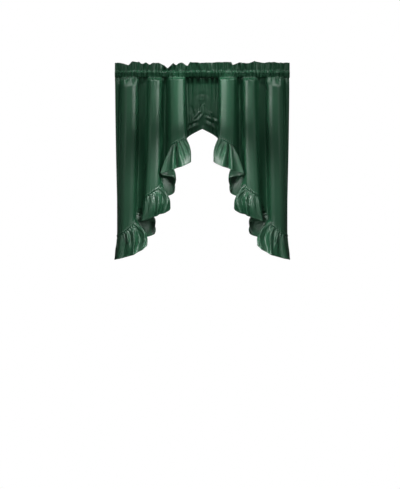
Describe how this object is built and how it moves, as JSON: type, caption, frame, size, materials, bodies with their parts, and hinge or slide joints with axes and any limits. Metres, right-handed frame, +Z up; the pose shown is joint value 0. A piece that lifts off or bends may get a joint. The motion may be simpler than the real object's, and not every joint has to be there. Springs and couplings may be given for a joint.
{
  "type": "ruffled swag curtain",
  "caption": "Gathered swag curtain with a rod pocket heading, soft pipe folds, an arched middle and a deep ruffle down both tails.",
  "frame": {"origin": "middle of the rod pocket, halfway along it", "axes": "+X along the rod, +Z up, -Y towards the room"},
  "size_m": [0.8512, 0.0963, 0.9669],
  "materials": {
    "green_cloth": "dark green plain-weave cotton and polyester cloth with a faint soft sheen"
  },
  "bodies": {
    "root": {"heading": "green_cloth", "body": "green_cloth", "ruffle": "green_cloth"}
  },
  "joints": []
}
